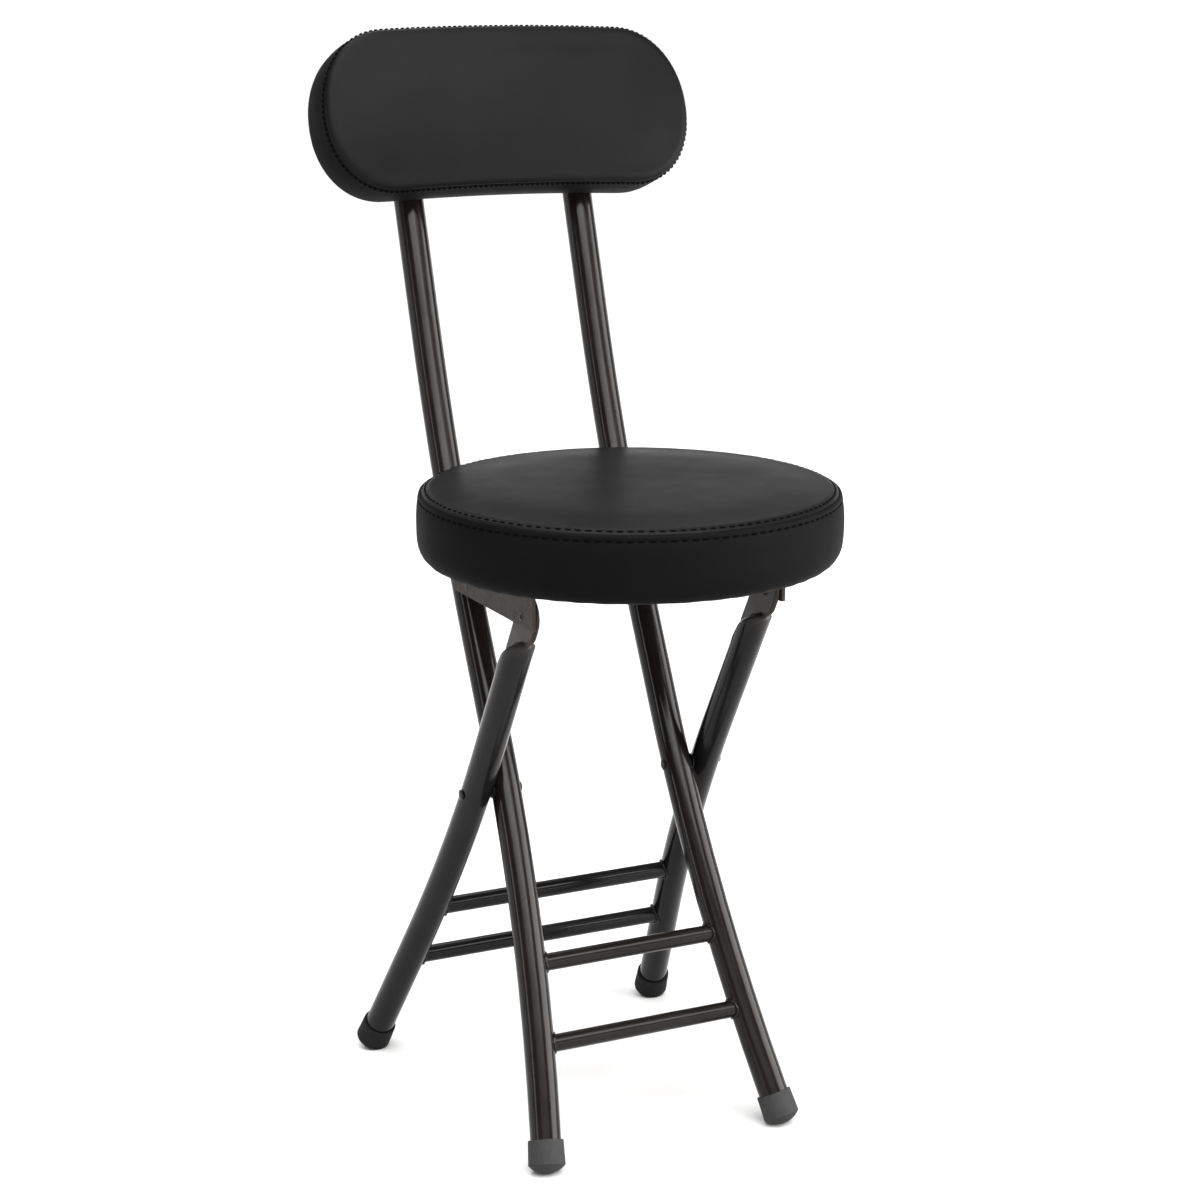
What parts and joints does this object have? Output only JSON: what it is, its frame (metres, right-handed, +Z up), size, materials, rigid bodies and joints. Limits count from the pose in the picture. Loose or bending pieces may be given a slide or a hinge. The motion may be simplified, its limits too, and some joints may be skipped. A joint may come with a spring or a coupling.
{
  "type": "folding stool",
  "caption": "Folding stool with a round padded seat and a padded backrest on a crossed tubular frame; the legs scissor shut while the seat tips up.",
  "frame": {"origin": "on the floor, under the middle of the outline", "axes": "+Z up, -Y to the front where the sitter faces, +X to the sitter's left"},
  "size_m": [0.3, 0.4224, 0.7878],
  "materials": {
    "front_frame_paint": "glossy black paint",
    "rear_frame_paint": "satin black paint",
    "bracket_paint": "satin dark grey paint",
    "foot_rubber": "matt dark grey rubber",
    "plug_plastic": "matt black plastic",
    "cover_leather": "soft black leather-look cover",
    "foam": "open-cell foam",
    "board_wood": "raw plywood",
    "dust_cloth": "black non-woven cloth",
    "plain_steel": "zinc-plated",
    "rivet_paint": "black painted rivet"
  },
  "bodies": {
    "main_frame": {"backrest_band": "cover_leather", "backrest_board": "board_wood", "backrest_bolts": "plain_steel", "backrest_foam": "foam", "backrest_front_panel": "cover_leather", "backrest_rear_panel": "cover_leather", "backrest_tee_nuts": "plain_steel", "front_lower_rung": "front_frame_paint", "front_upper_rung": "front_frame_paint", "left_cross_rivet": "rivet_paint", "left_cross_washer": "plain_steel", "left_front_foot": "foot_rubber", "left_hook_pin": "rivet_paint", "left_upright_plug": "plug_plastic", "left_upright_tube": "front_frame_paint", "right_cross_rivet": "rivet_paint", "right_cross_washer": "plain_steel", "right_front_foot": "foot_rubber", "right_hook_pin": "rivet_paint", "right_upright_plug": "plug_plastic", "right_upright_tube": "front_frame_paint"},
    "rear_legs": {"left_rear_foot": "foot_rubber", "left_rear_leg_tube": "rear_frame_paint", "rear_lower_rung": "rear_frame_paint", "rear_upper_rung": "rear_frame_paint", "right_rear_foot": "foot_rubber", "right_rear_leg_tube": "rear_frame_paint"},
    "seat": {"left_hook_strap": "bracket_paint", "left_seat_bracket": "bracket_paint", "left_seat_rivet": "rivet_paint", "left_seat_screws": "plain_steel", "left_strap_rivets": "rivet_paint", "right_hook_strap": "bracket_paint", "right_seat_bracket": "bracket_paint", "right_seat_rivet": "rivet_paint", "right_seat_screws": "plain_steel", "right_strap_rivets": "rivet_paint", "seat_band": "cover_leather", "seat_board": "board_wood", "seat_dust_cover": "dust_cloth", "seat_foam": "foam", "seat_top_panel": "cover_leather"}
  },
  "joints": [
    {"name": "leg_fold", "type": "hinge", "parent": "main_frame", "child": "rear_legs", "pos_m": [0, -0.00032, 0.24723], "axis": [-1, 0, 0], "range_deg": [0, 49]},
    {"name": "seat_flip", "type": "hinge", "parent": "rear_legs", "child": "seat", "pos_m": [0, -0.09252, 0.401], "axis": [1, 0, 0], "range_deg": [0, 120.1]}
  ],
  "couplings": [
    {"joint": "seat_flip", "follows": "leg_fold", "ratio": 2.45}
  ]
}
